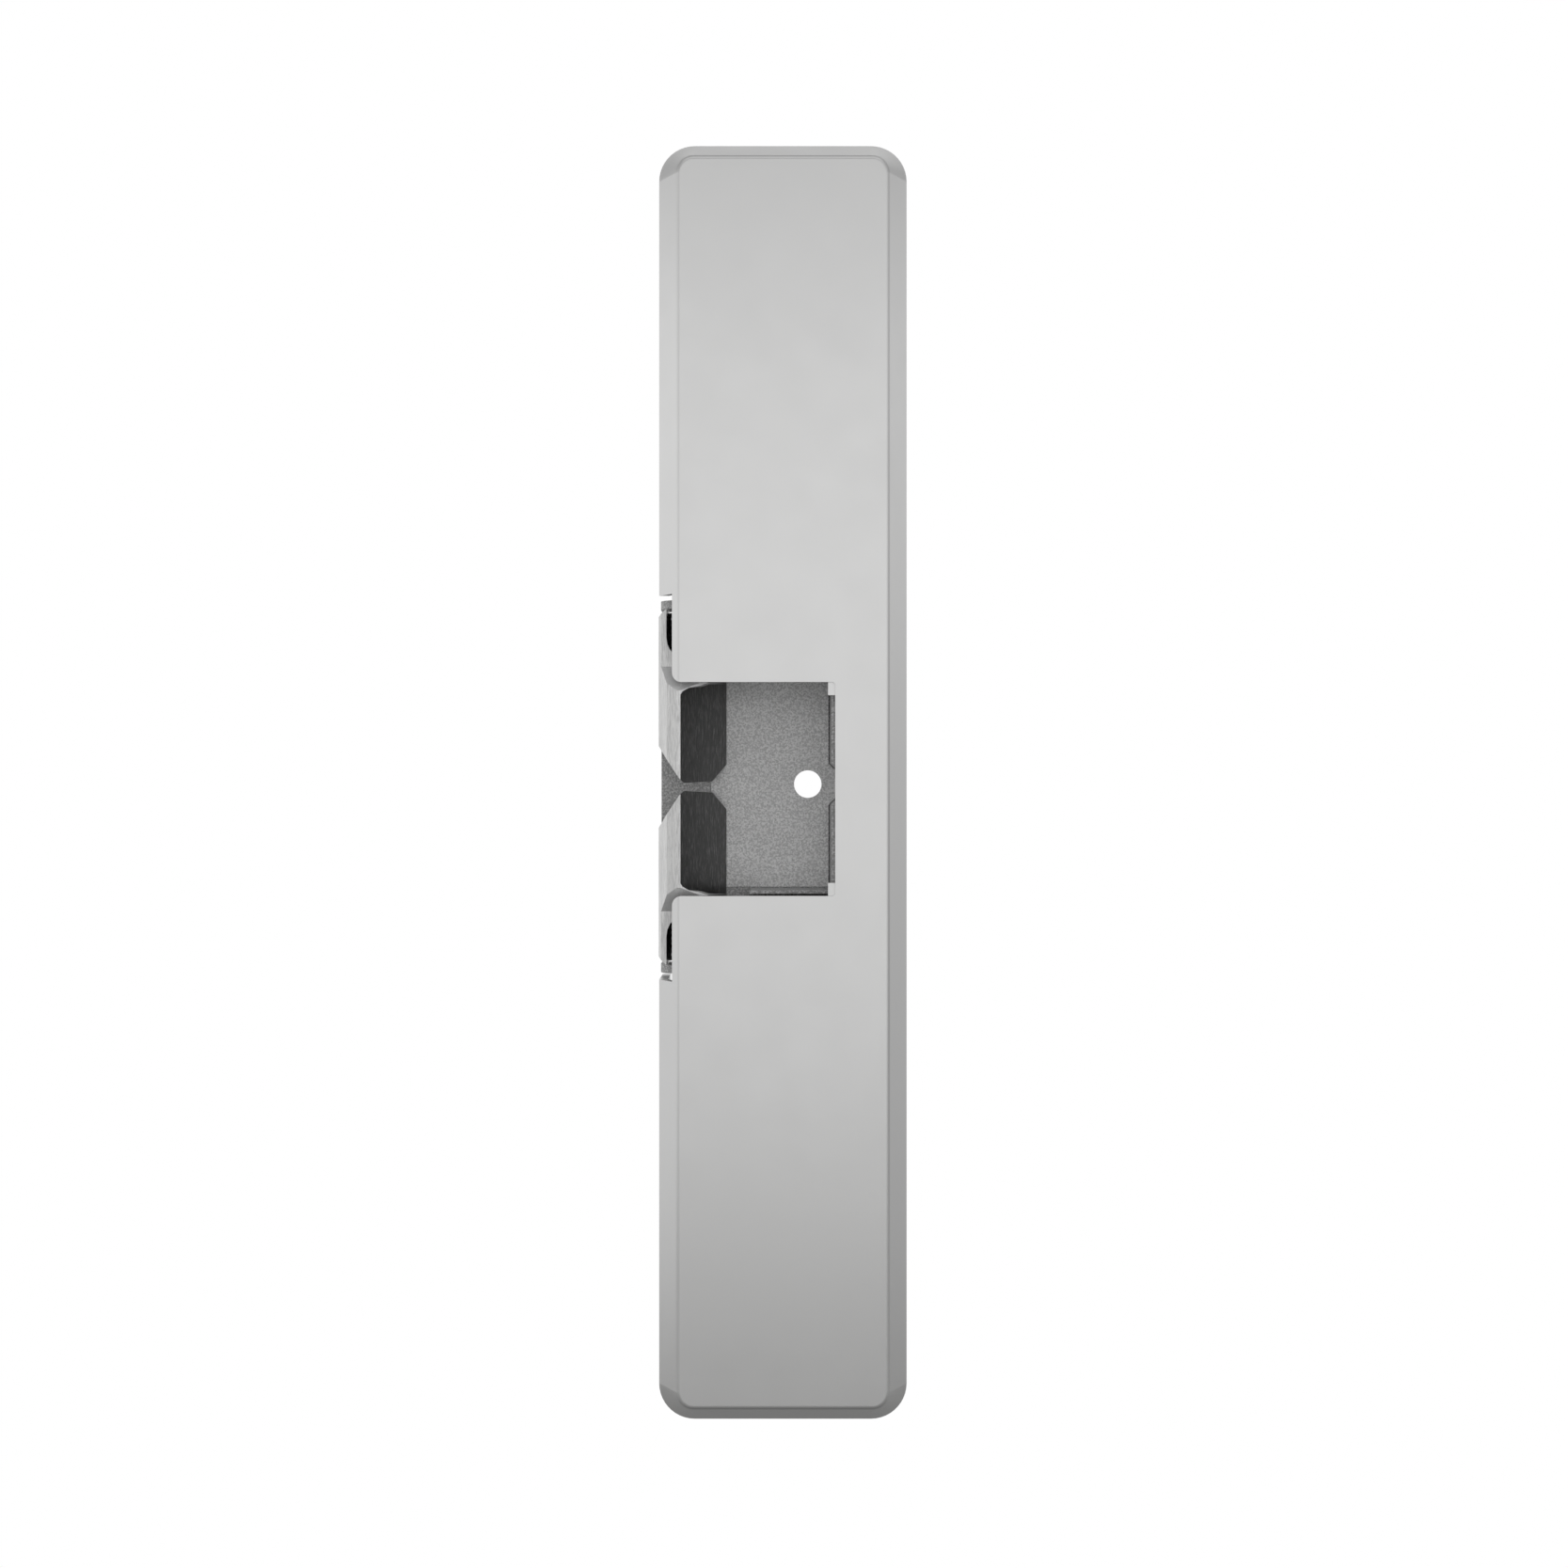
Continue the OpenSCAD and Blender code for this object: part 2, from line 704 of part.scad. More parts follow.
module return_spring() {
    low = collar_z + collar_t + spring_wire / 2;
    high = sol_z - spring_wire / 2 - 0.02;
    translate([plunger_x, -axis_y, 0]) wire(helix(spring_r, low, high, spring_turns, 0), spring_wire / 2);
}

module small_screw(x, z, seat, depth) {
    difference() {
        union() {
            post(x, z, small_screw_r, seat - depth, seat + eps);
            post(x, z, small_head_r, seat, seat + small_head_h);
        }
        block(x - small_head_r - 1, x + small_head_r + 1, seat + small_head_h - slot_deep,
            seat + small_head_h + 1, z - slot_half, z + slot_half);
        block(x - slot_half, x + slot_half, seat + small_head_h - slot_deep, seat + small_head_h + 1,
            z - small_head_r - 1, z + small_head_r + 1);
    }
}

// ---- electrical parts ----

module board_plate() {
    difference() {
        block(board[0], board[0] + board[2], board_y, board_y + board_t, board[1], board[1] + board[3]);
        for (z = board_holes())
            post(board[0] + board[2] / 2, z, board_hole_r + hole_play, 0, board_y + board_t + 1);
    }
}

module header_shell() {
    top = board_y + board_t;
    difference() {
        block(header[0], header[0] + header[1], top, top + header[4], header[2], header[3]);
        block(header[0] + header_wall, header[0] + header[1] - header_wall, top + header_wall,
            top + header[4] - header_wall, header[2] + header_end_low, header[3] + 1);
    }
}

module header_pin_row() {
    top = board_y + board_t;
    for (k = [0 : header_pins_n - 1]) let (x = header[0] + header_pin_x + header_pitch * k)
        block(x, x + header_pin_w, top + header_pin_y, top + header_pin_y + header_pin_w,
            header[2] + header_end_low, header[3] - header_end_high);
}

module surge_body() {
    rod(board[0] + board[2] / 2, board_y + board_t + disc_r, disc_r, disc_z, disc_z + disc_t);
}

module diode_row() {
    top = board_y + board_t;
    for (k = [0, 1]) let (x = board[0] + diode_x + diode_pitch * k)
        rod(x, top + diode_r, diode_r, diode_low, diode_high);
}

// ---- sub-parts ----

module cover() { color([0.78, 0.78, 0.77]) cover_body(); }
module base() { color([0.45, 0.45, 0.46]) base_drilled(); }
module pocket_floor() {
    color([0.5, 0.5, 0.5]) difference() {
        along_y(base_t - floor_t, base_t) floor_outline(0);
        post(fix_x, fix_z, fix_r, -1, base_t + 1);
    }
}
module upper_keeper() { color([0.7, 0.7, 0.7]) half(true) keeper(notch_top - mech_z); }
module lower_keeper() { color([0.7, 0.7, 0.7]) half(false) keeper(mech_z - notch_bottom); }
module upper_keeper_pin() {
    color([0.6, 0.6, 0.62]) half(true) rod(hinge_x, hinge_y, hinge_pin_r, ear_start, lug_end);
}
module lower_keeper_pin() {
    color([0.6, 0.6, 0.62]) half(false) rod(hinge_x, hinge_y, hinge_pin_r, ear_start, lug_end);
}
module upper_keeper_spring() { color([0.5, 0.5, 0.52]) half(true) keeper_spring(); }
module lower_keeper_spring() { color([0.5, 0.5, 0.52]) half(false) keeper_spring(); }
module upper_lever() { color([0.62, 0.6, 0.55]) half(true) lever(); }
module lower_lever() { color([0.62, 0.6, 0.55]) half(false) lever(); }
module lever_pins() { color([0.6, 0.6, 0.62]) both() lever_pin(); }
module lever_clips() { color([0.3, 0.3, 0.3]) both() lever_clip(); }
module upper_frame() { color([0.7, 0.7, 0.66]) half(true) solenoid_frame(); }
module lower_frame() { color([0.7, 0.7, 0.66]) half(false) solenoid_frame(); }
module upper_bobbin() { color([0.9, 0.9, 0.85]) half(true) bobbin(); }
module lower_bobbin() { color([0.9, 0.9, 0.85]) half(false) bobbin(); }
module upper_coil() { color([0.72, 0.4, 0.2]) half(true) coil(); }
module lower_coil() { color([0.72, 0.4, 0.2]) half(false) coil(); }
module upper_core() { color([0.65, 0.65, 0.65]) half(true) core(); }
module lower_core() { color([0.65, 0.65, 0.65]) half(false) core(); }
module upper_plunger() { color([0.65, 0.65, 0.65]) half(true) plunger(); }
module lower_plunger() { color([0.65, 0.65, 0.65]) half(false) plunger(); }
module upper_plunger_pin() { color([0.6, 0.6, 0.62]) half(true) plunger_pin(); }
module lower_plunger_pin() { color([0.6, 0.6, 0.62]) half(false) plunger_pin(); }
module upper_collar() { color([0.3, 0.3, 0.3]) half(true) collar(); }
module lower_collar() { color([0.3, 0.3, 0.3]) half(false) collar(); }
module upper_return_spring() { color([0.6, 0.6, 0.62]) half(true) return_spring(); }
module lower_return_spring() { color([0.6, 0.6, 0.62]) half(false) return_spring(); }
module solenoid_screws() {
    color([0.7, 0.7, 0.7]) both() for (p = screw_points())
        small_screw(p[0], p[1], frame_back + frame_t, frame_t + small_hole_deep - fit_gap);
}
module cover_screws() {
    color([0.7, 0.7, 0.7]) for (side = [-1, 1]) cover_screw_place(side) cover_screw();
}
module board_screws() {
    color([0.7, 0.7, 0.7]) for (z = board_holes())
        board_screw(board[0] + board[2] / 2, z);
}

module board_screw(x, z) {
    difference() {
        union() {
            post(x, z, board_hole_r, board_y - board_screw_len, board_y + board_t + eps);
            post(x, z, small_head_r, board_y + board_t, board_y + board_t + small_head_h);
        }
        block(x - slot_half, x + slot_half, board_y + board_t + small_head_h - slot_deep,
            board_y + board_t + small_head_h + 1, z - small_head_r - 1, z + small_head_r + 1);
    }
}
module circuit_board() { color([0.1, 0.35, 0.2]) board_plate(); }
module lead_header() { color([0.92, 0.92, 0.88]) header_shell(); }
module header_pins() { color([0.8, 0.65, 0.3]) header_pin_row(); }
module surge_disc() { color([0.2, 0.35, 0.7]) surge_body(); }
module diodes() { color([0.08, 0.08, 0.08]) diode_row(); }

cover();
base();
pocket_floor();
upper_keeper();
lower_keeper();
upper_keeper_pin();
lower_keeper_pin();
upper_keeper_spring();
lower_keeper_spring();
upper_lever();
lower_lever();
lever_pins();
lever_clips();
upper_frame();
lower_frame();
upper_bobbin();
lower_bobbin();
upper_coil();
lower_coil();
upper_core();
lower_core();
upper_plunger();
lower_plunger();
upper_plunger_pin();
lower_plunger_pin();
upper_collar();
lower_collar();
upper_return_spring();
lower_return_spring();
solenoid_screws();
cover_screws();
board_screws();
circuit_board();
lead_header();
header_pins();
surge_disc();
diodes();
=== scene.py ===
"""Looks of a surface-mounted electric door strike.

It has a satin cover, a cast pocket, brushed keepers, and solenoids with their levers and board inside.
"""

import json
import math

import bpy
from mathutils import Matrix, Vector


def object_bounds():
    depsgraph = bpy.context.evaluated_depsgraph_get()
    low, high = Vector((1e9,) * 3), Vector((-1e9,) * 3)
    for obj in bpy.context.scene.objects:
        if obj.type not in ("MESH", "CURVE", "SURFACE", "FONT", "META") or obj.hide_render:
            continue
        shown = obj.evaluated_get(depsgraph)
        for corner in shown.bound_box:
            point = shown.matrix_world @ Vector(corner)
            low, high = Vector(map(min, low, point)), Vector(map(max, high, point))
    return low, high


MM = 0.001

# ---- camera, in metres but for the lens and the sensor ----
LENS_MM = 50.0
SENSOR_MM = 36.0
CAMERA_GAP = 0.385  # from the camera to the cover's face
CAMERA_X = 0.2 * MM
CAMERA_Z = -0.28 * MM

# ---- floor, in metres ----
FLOOR_DROP = 0.40  # from the object's lowest point
FLOOR_HALF = 2.2
FLOOR_BEHIND = 0.95  # it ends here behind the object, out of the front view
FLOOR_PAINTED_SHADE = (0.6, 0.1)  # distances from its middle between which painted shade darkens it
FLOOR_FADED = (1.6, 2.1)  # distances between which it turns near white

# ---- surround, in stops of (direction, brightness) ----
# from straight down to straight up
UPRIGHT_STOPS = [
    (-1, 0.3), (-0.32, 0.3), (-0.22, 0.98), (0.0, 0.94),
    (0.12, 1.07), (0.22, 1.12), (0.3, 0.52), (1, 0.46),
]
# from left to right, leaning so that the right is dimmer low down
ACROSS_STOPS = [
    (-1.2, 0.92), (-0.92, 0.92), (-0.74, 0.78), (-0.3, 1.0),
    (0.3, 1.0), (0.74, 0.77), (0.98, 0.38), (1.2, 0.36),
]
ACROSS_LEAN = 0.5
# from in front of the object to behind it: how far the surround turns plain white
BEHIND_STOPS = [(-1, 0.0), (0.62, 0.0), (0.8, 0.96), (0.84, 1.0), (1, 1.0)]

# ---- surfaces of the object that take a finish of their own ----
BEVEL_IN_MM, BEVEL_DEEP_MM = 3.55, 6.2  # how far the cover's bevel runs inwards, and how deep it goes
BEVEL_ANGLE = math.atan(BEVEL_IN_MM / BEVEL_DEEP_MM)
KEEPER_DIP = (-0.35, 0.94)  # Y and Z of the way that the keepers' ends face, where they dip under the cover; faces that look this way get painted light
CHEEK_X_MM = (-18.35, -18.1)  # the keepers' cheeks begin here, and the painted light on them

# sockets of Blender's Mix node, which has a set for each type of data
MIX_FACTOR, MIX_VECTOR_A, MIX_VECTOR_B, MIX_COLOUR_A, MIX_COLOUR_B = 0, 4, 5, 6, 7
MIX_VECTOR_OUT, MIX_COLOUR_OUT = 1, 2

NOISE_SPREAD = (0.25, 0.75)  # nearly all of a noise's values lie between these

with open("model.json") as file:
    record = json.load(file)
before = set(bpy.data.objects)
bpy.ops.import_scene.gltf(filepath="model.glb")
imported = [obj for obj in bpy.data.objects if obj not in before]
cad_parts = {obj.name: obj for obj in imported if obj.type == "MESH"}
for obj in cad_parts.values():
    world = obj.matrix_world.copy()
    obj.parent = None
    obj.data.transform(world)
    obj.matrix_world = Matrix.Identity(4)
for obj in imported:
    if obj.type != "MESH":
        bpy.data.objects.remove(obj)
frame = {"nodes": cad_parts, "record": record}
bounds_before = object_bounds()
lowest_corner = bounds_before[0]

bpy.context.scene.view_settings.view_transform = "Standard"


# ---- node helpers ----


class Nodes:
    """A node tree, and the nodes that materials and surround are both made of."""

    def __init__(self, tree):
        self.tree = tree
        self.coords = self.node("ShaderNodeTexCoord")

    def node(self, kind, **values):
        """Adds a node and sets its sockets, or its own settings where it has no socket of that name."""
        made = self.tree.nodes.new(kind)
        for key, value in values.items():
            if key in made.inputs:
                made.inputs[key].default_value = value
            else:
                setattr(made, key, value)
        return made

    def link(self, source, socket):
        self.tree.links.new(source, socket)

    def feed(self, value, socket):
        """Links another node's output to a socket, or sets a plain value on it."""
        if isinstance(value, bpy.types.NodeSocket):
            self.link(value, socket)
        else:
            socket.default_value = value

    def remap(self, fac, low_in, high_in, low_out=0, high_out=1):
        """Stretches one range of a factor to another, and holds it at the ends."""
        made = self.node("ShaderNodeMapRange")
        made.inputs["From Min"].default_value = low_in
        made.inputs["From Max"].default_value = high_in
        made.inputs["To Min"].default_value = low_out
        made.inputs["To Max"].default_value = high_out
        self.link(fac, made.inputs["Value"])
        return made.outputs["Result"]

    def mix(self, a, b, fac, blend="MIX"):
        """Colour b over colour a."""
        made = self.node("ShaderNodeMix", data_type="RGBA", blend_type=blend)
        self.feed(fac, made.inputs[MIX_FACTOR])
        self.feed(a, made.inputs[MIX_COLOUR_A])
        self.feed(b, made.inputs[MIX_COLOUR_B])
        return made.outputs[MIX_COLOUR_OUT]

    def split(self, vector):
        """The X, Y and Z of a vector."""
        made = self.node("ShaderNodeSeparateXYZ")
        self.link(vector, made.inputs["Vector"])
        return made.outputs

    def join(self, operation, factors):
        """Applies an operation on two values along a list of factors."""
        result = factors[0]
        for factor in factors[1:]:
            made = self.node("ShaderNodeMath", operation=operation)
            self.link(result, made.inputs[0])
            self.link(factor, made.inputs[1])
            result = made.outputs[0]
        return result

    def most(self, *factors):
        return self.join("MAXIMUM", factors)

    def least(self, *factors):
        return self.join("MINIMUM", factors)

    def dot(self, vector, direction):
        made = self.node("ShaderNodeVectorMath", operation="DOT_PRODUCT")
        made.inputs[1].default_value = direction
        self.link(vector, made.inputs[0])
        return made.outputs["Value"]

    def ramp(self, value, stops):
        """Brightness that runs in straight lines between stops."""
        start, end = stops[0][0], stops[-1][0]
        made = self.node("ShaderNodeValToRGB")
        elements = made.color_ramp.elements
        while len(elements) < len(stops):
            elements.new(0.5)
        for element, (at, brightness) in zip(elements, stops):
            element.position = (at - start) / (end - start)
            element.color = (*grey(brightness), 1)
        self.link(self.remap(value, start, end), made.inputs["Fac"])
        return made.outputs["Color"]


class Paint(Nodes):
    """A Principled material built up from procedural layers in object space, where one unit is a metre."""

    def __init__(self, name, colour, metallic, roughness):
        self.material = bpy.data.materials.new(name)
        self.material.use_nodes = True
        super().__init__(self.material.node_tree)
        self.shader = next(n for n in self.tree.nodes if n.type == "BSDF_PRINCIPLED")
        self.colour = (*colour, 1)
        self.normal = None
        self.shader.inputs["Base Color"].default_value = self.colour
        self.shader.inputs["Metallic"].default_value = metallic
        self.shader.inputs["Roughness"].default_value = roughness

    # -- patterns, each a factor --

    def scaled(self, scale):
        """The point's place in the piece, with each axis scaled."""
        mapping = self.node("ShaderNodeMapping")
        mapping.inputs["Scale"].default_value = scale
        self.link(self.coords.outputs["Object"], mapping.inputs["Vector"])
        return mapping.outputs["Vector"]

    def noise(self, size_mm, stretch=(1, 1, 1), detail=3.0, rough=0.5):
        """Noise whose features are about size_mm across, drawn out along an axis where stretch is above 1."""
        made = self.node("ShaderNodeTexNoise", Scale=1.0, Detail=detail, Roughness=rough)
        self.link(self.scaled([1 / (size_mm * MM * s) for s in stretch]), made.inputs["Vector"])
        return made.outputs["Fac"]

    def patches(self, size_mm, none_at, full_at, stretch=(1, 1, 1), detail=3.0, rough=0.5):
        """Noise cut into patches: absent at one level of the noise and full at another."""
        return self.remap(self.noise(size_mm, stretch, detail, rough), none_at, full_at)

    def bands(self, pitch_mm, axis="Z"):
        """Even bands of the given pitch along an axis."""
        one_band_a_unit = math.pi / 10
        made = self.node("ShaderNodeTexWave", Scale=one_band_a_unit, Distortion=0.0, bands_direction=axis)
        self.link(self.scaled([1 / (pitch_mm * MM)] * 3), made.inputs["Vector"])
        return made.outputs["Fac"]

    def facing(self, direction, lowest, highest):
        """How far the surface looks along a direction of the piece."""
        return self.remap(self.dot(self.coords.outputs["Normal"], direction), lowest, highest)

    def span(self, axis, lowest_mm, highest_mm):
        """How far along an axis of the piece a point is, between two places."""
        place = self.split(self.coords.outputs["Object"])[axis]
        return self.remap(place, lowest_mm * MM, highest_mm * MM)

    def reach(self, lowest, highest):
        """How far a point is from the piece's own origin, between two distances in metres."""
        length = self.node("ShaderNodeVectorMath", operation="LENGTH")
        self.link(self.coords.outputs["Object"], length.inputs[0])
        return self.remap(length.outputs["Value"], lowest, highest)

    def edges(self, flat=0.52, sharp=0.6):
        """How far a point is on a convex edge."""
        return self.remap(self.node("ShaderNodeNewGeometry").outputs["Pointiness"], flat, sharp)

    # -- layers --

    def tint(self, fac, colour, strength=1.0):
        """Mixes a colour over what is there, by the factor."""
        self.colour = self.mix(self.colour, (*colour, 1), self.remap(fac, 0, 1, 0, strength))
        self.link(self.colour, self.shader.inputs["Base Color"])

    def sheen(self, fac, lowest, highest):
        """Roughness that runs between two values with the factor."""
        self.link(self.remap(fac, *NOISE_SPREAD, lowest, highest), self.shader.inputs["Roughness"])

    def set_normal(self, normal):
        self.normal = normal
        self.link(normal, self.shader.inputs["Normal"])

    def bump(self, fac, depth_mm, strength=1.0):
        """Raises the surface by the factor, on top of the bumps that are there."""
        made = self.node("ShaderNodeBump", Strength=strength, Distance=depth_mm * MM)
        self.link(fac, made.inputs["Height"])
        if self.normal is not None:
            self.link(self.normal, made.inputs["Normal"])
        self.set_normal(made.outputs["Normal"])

    def flat_faces(self, directions, cosine=0.9997):
        """Starts the normal from the true one on faces that look along a direction or its mirror images.

        Wide flats then stay flat beside rounded edges. It comes before any bump.
        """
        geometry = self.node("ShaderNodeNewGeometry")
        absolute = self.node("ShaderNodeVectorMath", operation="ABSOLUTE")
        self.link(geometry.outputs["True Normal"], absolute.inputs[0])
        nearest = self.most(*[self.dot(absolute.outputs["Vector"], direction) for direction in directions])
        flat = self.node("ShaderNodeMath", operation="GREATER_THAN")
        flat.inputs[1].default_value = cosine
        self.link(nearest, flat.inputs[0])
        mix = self.node("ShaderNodeMix", data_type="VECTOR")
        self.link(flat.outputs[0], mix.inputs[MIX_FACTOR])
        self.link(geometry.outputs["Normal"], mix.inputs[MIX_VECTOR_A])
        self.link(geometry.outputs["True Normal"], mix.inputs[MIX_VECTOR_B])
        self.set_normal(mix.outputs[MIX_VECTOR_OUT])


def grey(value):
    return (value, value, value)


def shade(colour, factor):
    """A colour made darker, or lighter up to white."""
    return tuple(min(1, c * factor) for c in colour)


# ---- materials, one per slot of the record ----


def cover_paint():
    """Satin metal, even and very finely grained."""
    p = Paint("satin_cover", (0.7, 0.7, 0.695), 1.0, 0.3)
    p.tint(p.noise(26, detail=2), grey(0.67), 0.5)
    p.sheen(p.noise(7, detail=4), 0.285, 0.32)
    across, deep = math.cos(BEVEL_ANGLE), math.sin(BEVEL_ANGLE)
    p.flat_faces([(1, 0, 0), (0, 1, 0), (0, 0, 1), (across, deep, 0), (0, deep, across)])
    p.bump(p.noise(0.12, detail=2), 0.002, 0.12)
    return p


def cast(name, dark, mid, light, grain_mm):
    """Grainy sintered casting."""
    p = Paint(name, mid, 0.14, 0.55)
    p.tint(p.patches(grain_mm, 0.42, 0.62, detail=4, rough=0.7), light, 0.8)
    p.tint(p.patches(grain_mm * 1.7, 0.56, 0.44, detail=3, rough=0.6), dark, 0.5)
    p.tint(p.patches(0.5, 0.5, 0.4, detail=4, rough=0.7), dark, 0.2)
    p.tint(p.noise(6, detail=2), dark, 0.2)
    p.sheen(p.noise(grain_mm, detail=3), 0.45, 0.7)
    p.bump(p.noise(grain_mm, detail=4, rough=0.7), 0.05, 0.55)
    return p


def brushed(name, colour, roughness, stretch=(1, 1, 40), streak_mm=0.11, contrast=0.5):
    """Steel with fine streaks drawn out along one axis, and a painted highlight on its convex edges."""
    p = Paint(name, colour, 1.0, roughness)
    darker = shade(colour, 0.62)
    p.tint(p.patches(streak_mm, 0.4, 0.62, stretch), darker, contrast)
    p.tint(p.patches(2.4, 0.42, 0.6, (1, 1, 2.5), detail=4), darker, contrast * 0.5)
    # painted highlight on convex edges
    p.tint(p.edges(), shade(colour, 1.3), 0.5)
    streaks = p.noise(streak_mm, stretch)
    p.sheen(streaks, roughness - 0.07, roughness + 0.1)
    p.bump(streaks, 0.006, 0.35)
    return p


def keeper_steel():
    """Brushed stainless, with painted shade that darkens the steeply sloping inner face, and painted light
    that makes the dipping faces and the cheek faces pale; those are dull as well.
    """
    p = brushed("keeper_steel", (0.57, 0.57, 0.565), 0.3)
    p.tint(p.patches(0.3, 0.47, 0.58, (1, 1, 7), detail=4, rough=0.6), grey(0.4), 0.55)
    # painted light: faces that dip up or down under the cover are painted pale
    forward, along = KEEPER_DIP
    dips_painted_light = p.most(*[p.facing((0, forward, along * way), 0.62, 0.8) for way in (1, -1)])
    p.tint(dips_painted_light, grey(0.9), 0.9)
    # painted light on the front-facing cheek faces
    cheeks_painted_light = p.least(p.span("X", *CHEEK_X_MM), p.facing((0, -1, 0), 0.45, 0.55))
    p.tint(cheeks_painted_light, grey(1.0), 0.9)
    # painted shade on the inner face that looks along +X
    steep_painted_shade = p.facing((1, 0, 0), 0.72, 0.8)
    p.tint(steep_painted_shade, grey(0.115), 0.92)
    flecks = p.patches(0.24, 0.53, 0.64, (1, 1, 9), detail=4, rough=0.65)
    p.tint(p.least(steep_painted_shade, flecks), grey(0.42), 0.7)
    dull = p.least(p.most(dips_painted_light, cheeks_painted_light), p.remap(steep_painted_shade, 0, 1, 1, 0))
    p.link(p.remap(dull, 0, 1, 1.0, 0.25), p.shader.inputs["Metallic"])
    return p


def plated(name, colour, roughness):
    """Zinc or nickel plate, faintly mottled, with a painted highlight on its convex edges."""
    p = Paint(name, colour, 1.0, roughness)
    p.tint(p.patches(3.0, 0.4, 0.65, detail=4), shade(colour, 0.75), 0.4)
    # painted highlight on convex edges
    p.tint(p.edges(), shade(colour, 1.25), 0.5)
    p.sheen(p.noise(0.8), roughness - 0.06, roughness + 0.1)
    p.bump(p.noise(0.25, detail=2), 0.004, 0.2)
    return p


def moulded(name, colour, roughness):
    """Moulded plastic or dipped epoxy."""
    p = Paint(name, colour, 0.0, roughness)
    p.tint(p.noise(4), shade(colour, 0.8), 0.15)
    p.sheen(p.noise(0.6), roughness - 0.05, roughness + 0.08)
    p.bump(p.noise(0.2, detail=2), 0.006, 0.25)
    return p


def winding(wire_mm=0.32):
    """Turns of enamelled copper wire, side by side."""
    p = Paint("coil_winding", (0.6, 0.22, 0.08), 0.9, 0.3)
    turns = p.bands(wire_mm)
    p.tint(turns, (0.28, 0.08, 0.03), 0.8)
    p.tint(p.noise(2, (1, 1, 0.4)), (0.75, 0.33, 0.13), 0.35)
    p.bump(turns, 0.06, 0.8)
    return p


def board_mask(track_pitch_mm=2.2):
    """Green solder mask with the tracks showing through it."""
    p = Paint("board_mask", (0.012, 0.13, 0.05), 0.0, 0.28)
    p.tint(p.patches(0.5, 0.45, 0.6), (0.008, 0.09, 0.035), 0.5)
    p.tint(p.remap(p.bands(track_pitch_mm, "X"), 0.86, 0.93), (0.03, 0.24, 0.1), 0.7)
    p.sheen(p.noise(1.5), 0.22, 0.36)
    p.bump(p.noise(0.15, detail=2), 0.004, 0.3)
    return p


MATERIALS = {
    "cover_paint": cover_paint(),
    "cast_base": cast("cast_base", grey(0.14), grey(0.5), grey(0.95), 0.22),
    # painted light: the pocket floor's casting is painted far paler than the base's, standing in for light
    # that reaches the deep pocket
    "cast_floor": cast("cast_floor", grey(0.3), grey(0.9), grey(1.0), 0.17),
    "keeper_steel": keeper_steel(),
    "pin_steel": brushed("pin_steel", (0.6, 0.6, 0.61), 0.22, (1, 1, 8)),
    "spring_steel": plated("spring_steel", (0.38, 0.38, 0.4), 0.3),
    "lever_steel": plated("lever_steel", (0.62, 0.57, 0.42), 0.34),
    "clip_steel": moulded("clip_steel", (0.03, 0.03, 0.032), 0.45),
    "solenoid_plate": plated("solenoid_plate", (0.62, 0.61, 0.57), 0.36),
    "bobbin_nylon": moulded("bobbin_nylon", (0.78, 0.76, 0.66), 0.45),
    "winding": winding(),
    "soft_iron": brushed("soft_iron", (0.56, 0.55, 0.53), 0.28, (1, 1, 6)),
    "screw_steel": plated("screw_steel", (0.62, 0.62, 0.6), 0.28),
    "cover_screw_steel": plated("cover_screw_steel", (0.58, 0.58, 0.58), 0.25),
    "board_epoxy": board_mask(),
    "header_nylon": moulded("header_nylon", (0.8, 0.79, 0.74), 0.4),
    "header_brass": plated("header_brass", (0.8, 0.6, 0.25), 0.25),
    "disc_epoxy": moulded("disc_epoxy", (0.02, 0.07, 0.4), 0.22),
    "diode_epoxy": moulded("diode_epoxy", (0.015, 0.015, 0.016), 0.3),
}

for part in frame["record"]["subparts"]:
    piece = frame["nodes"][part["node"]]
    piece.data.materials.clear()
    piece.data.materials.append(MATERIALS[part["material_slot"]].material)


# ---- studio ----


def add_object(name, data, place):
    made = bpy.data.objects.new(name, data)
    made.location = place
    bpy.context.scene.collection.objects.link(made)
    return made


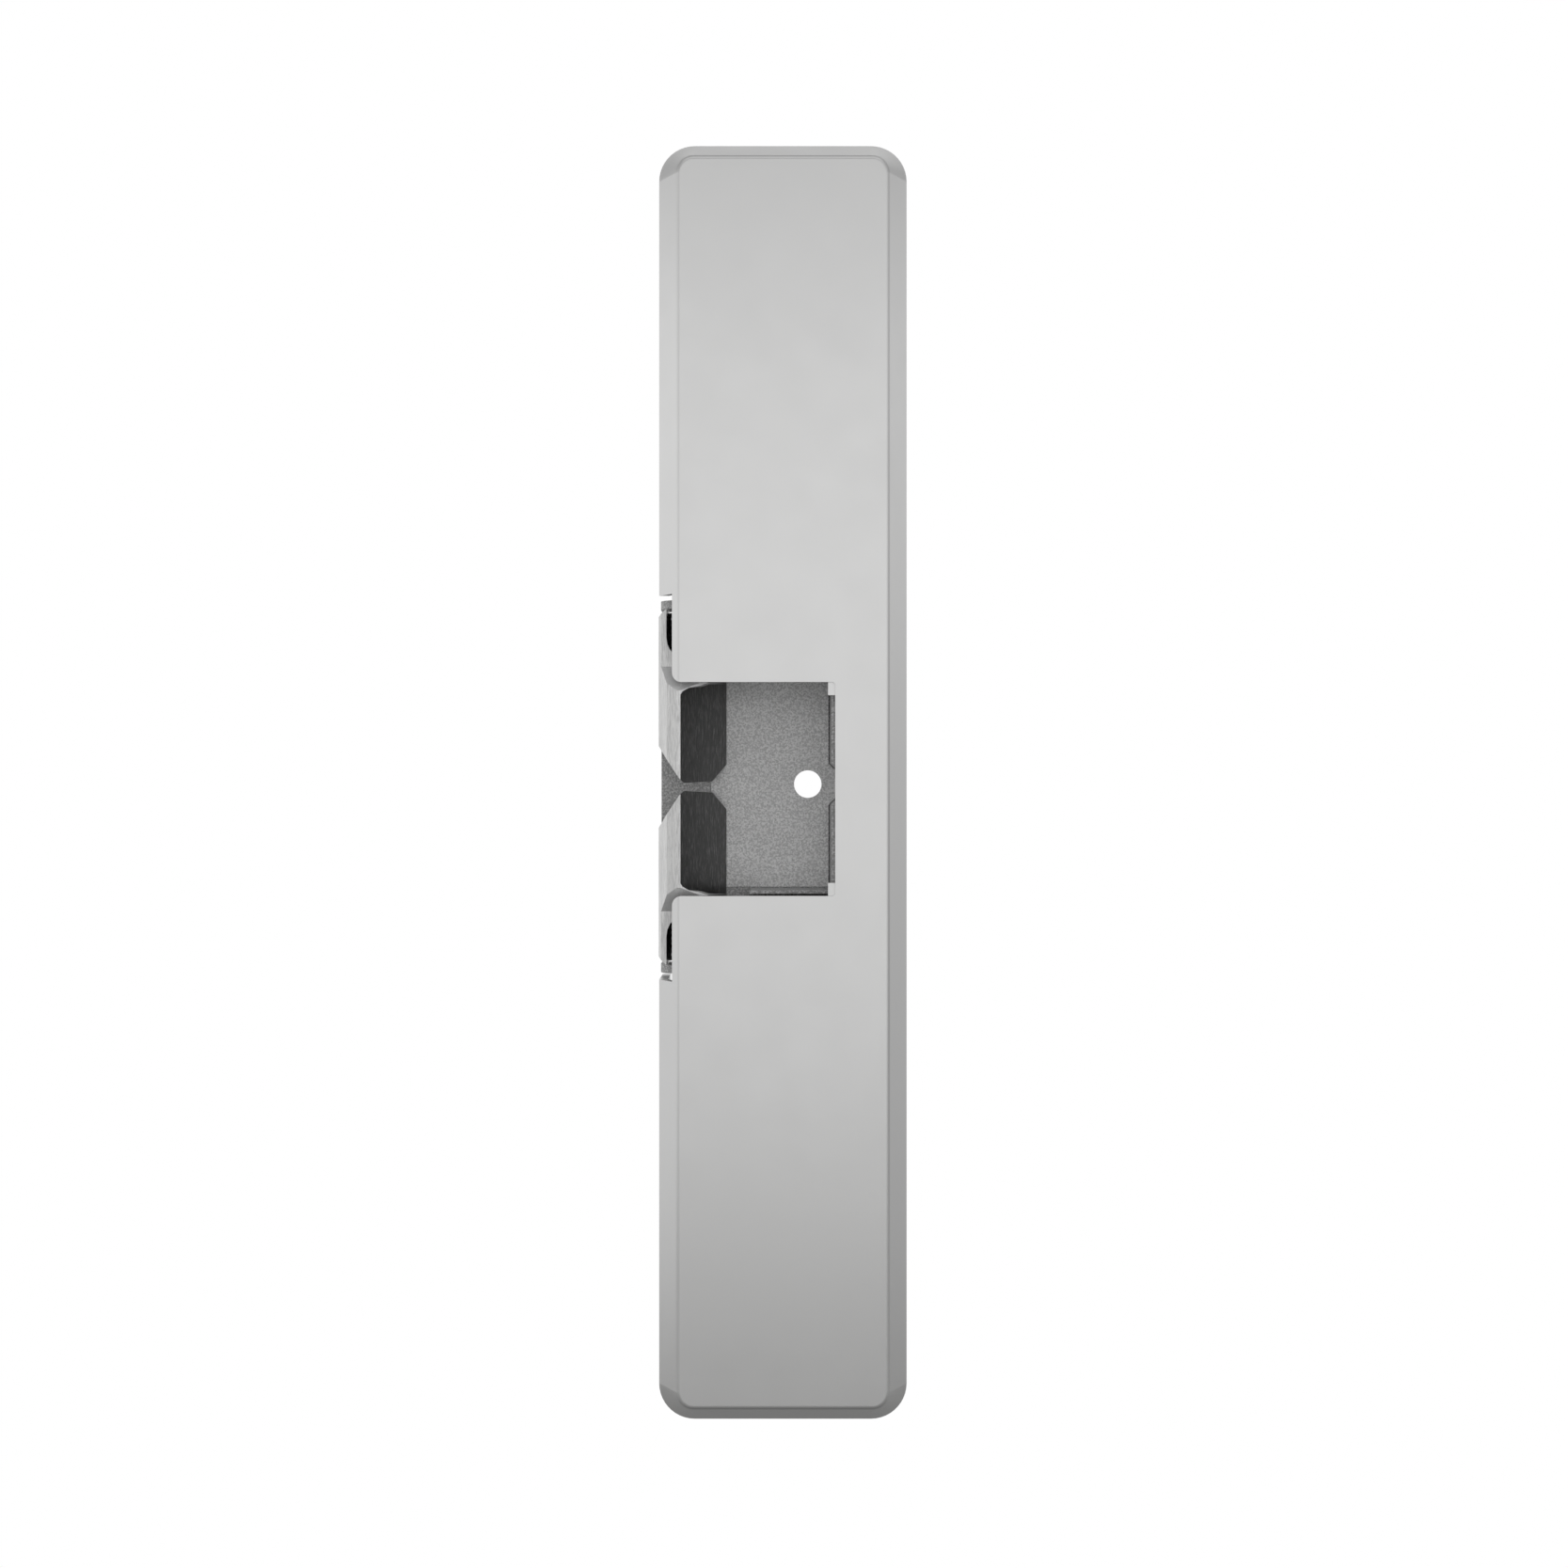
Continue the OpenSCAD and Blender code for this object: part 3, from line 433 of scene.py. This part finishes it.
def surround():
    """A room that is white straight behind the object, and dimmer towards the floor and the right."""
    world = bpy.data.worlds.new("studio")
    bpy.context.scene.world = world
    world.use_nodes = True
    room = Nodes(world.node_tree)
    direction = room.split(room.coords.outputs["Generated"])
    lean = room.node("ShaderNodeMath", operation="MULTIPLY_ADD")
    room.link(direction["Z"], lean.inputs[0])
    lean.inputs[1].default_value = -ACROSS_LEAN
    room.link(direction["X"], lean.inputs[2])
    upright = room.ramp(direction["Z"], UPRIGHT_STOPS)
    across = room.ramp(lean.outputs[0], ACROSS_STOPS)
    behind = room.ramp(direction["Y"], BEHIND_STOPS)
    walls = room.mix(upright, across, 1, "MULTIPLY")
    background = next(n for n in room.tree.nodes if n.type == "BACKGROUND")
    room.link(room.mix(walls, (*grey(1), 1), behind), background.inputs["Color"])
    background.inputs["Strength"].default_value = 1.0


def softbox(name, place, aim, width, height, watts):
    light = bpy.data.lights.new(name, "AREA")
    light.shape = "RECTANGLE"
    light.size, light.size_y, light.energy = width, height, watts
    lamp = add_object(name, light, place)
    lamp.rotation_euler = (Vector(aim) - Vector(place)).to_track_quat("-Z", "Y").to_euler()


def studio_floor():
    """A plain pale floor, with painted shade that darkens it under the object, and near white far out."""
    mesh = bpy.data.meshes.new("studio_floor")
    left, right, front, back = -FLOOR_HALF, FLOOR_HALF, -FLOOR_HALF, FLOOR_BEHIND
    corners = [(left, front, 0), (right, front, 0), (right, back, 0), (left, back, 0)]
    mesh.from_pydata(corners, [], [(0, 1, 2, 3)])
    p = Paint("pale_floor", (0.55, 0.55, 0.545), 0.0, 0.7)
    p.tint(p.noise(60, detail=4), (0.52, 0.52, 0.515), 0.5)
    # painted shade on the floor under the object
    p.tint(p.reach(*FLOOR_PAINTED_SHADE), grey(0.24), 0.85)
    p.tint(p.reach(*FLOOR_FADED), grey(0.95), 0.95)
    p.bump(p.noise(1.5), 0.05, 0.1)
    mesh.materials.append(p.material)
    floor = add_object("studio_floor", mesh, (0, 0, lowest_corner.z - FLOOR_DROP))


def front_camera():
    """A camera that looks straight at the cover's face."""
    data = bpy.data.cameras.new("camera")
    data.lens = LENS_MM
    data.sensor_width = SENSOR_MM
    data.clip_start = 0.01
    camera = add_object("camera", data, (CAMERA_X, lowest_corner.y - CAMERA_GAP, CAMERA_Z))
    camera.rotation_euler = (math.radians(90), 0, 0)
    bpy.context.scene.camera = camera


surround()
softbox("front_top", place=(0.0, -0.5, 0.9), aim=(0, 0, 0), width=1.0, height=0.6, watts=0.6)
studio_floor()
front_camera()
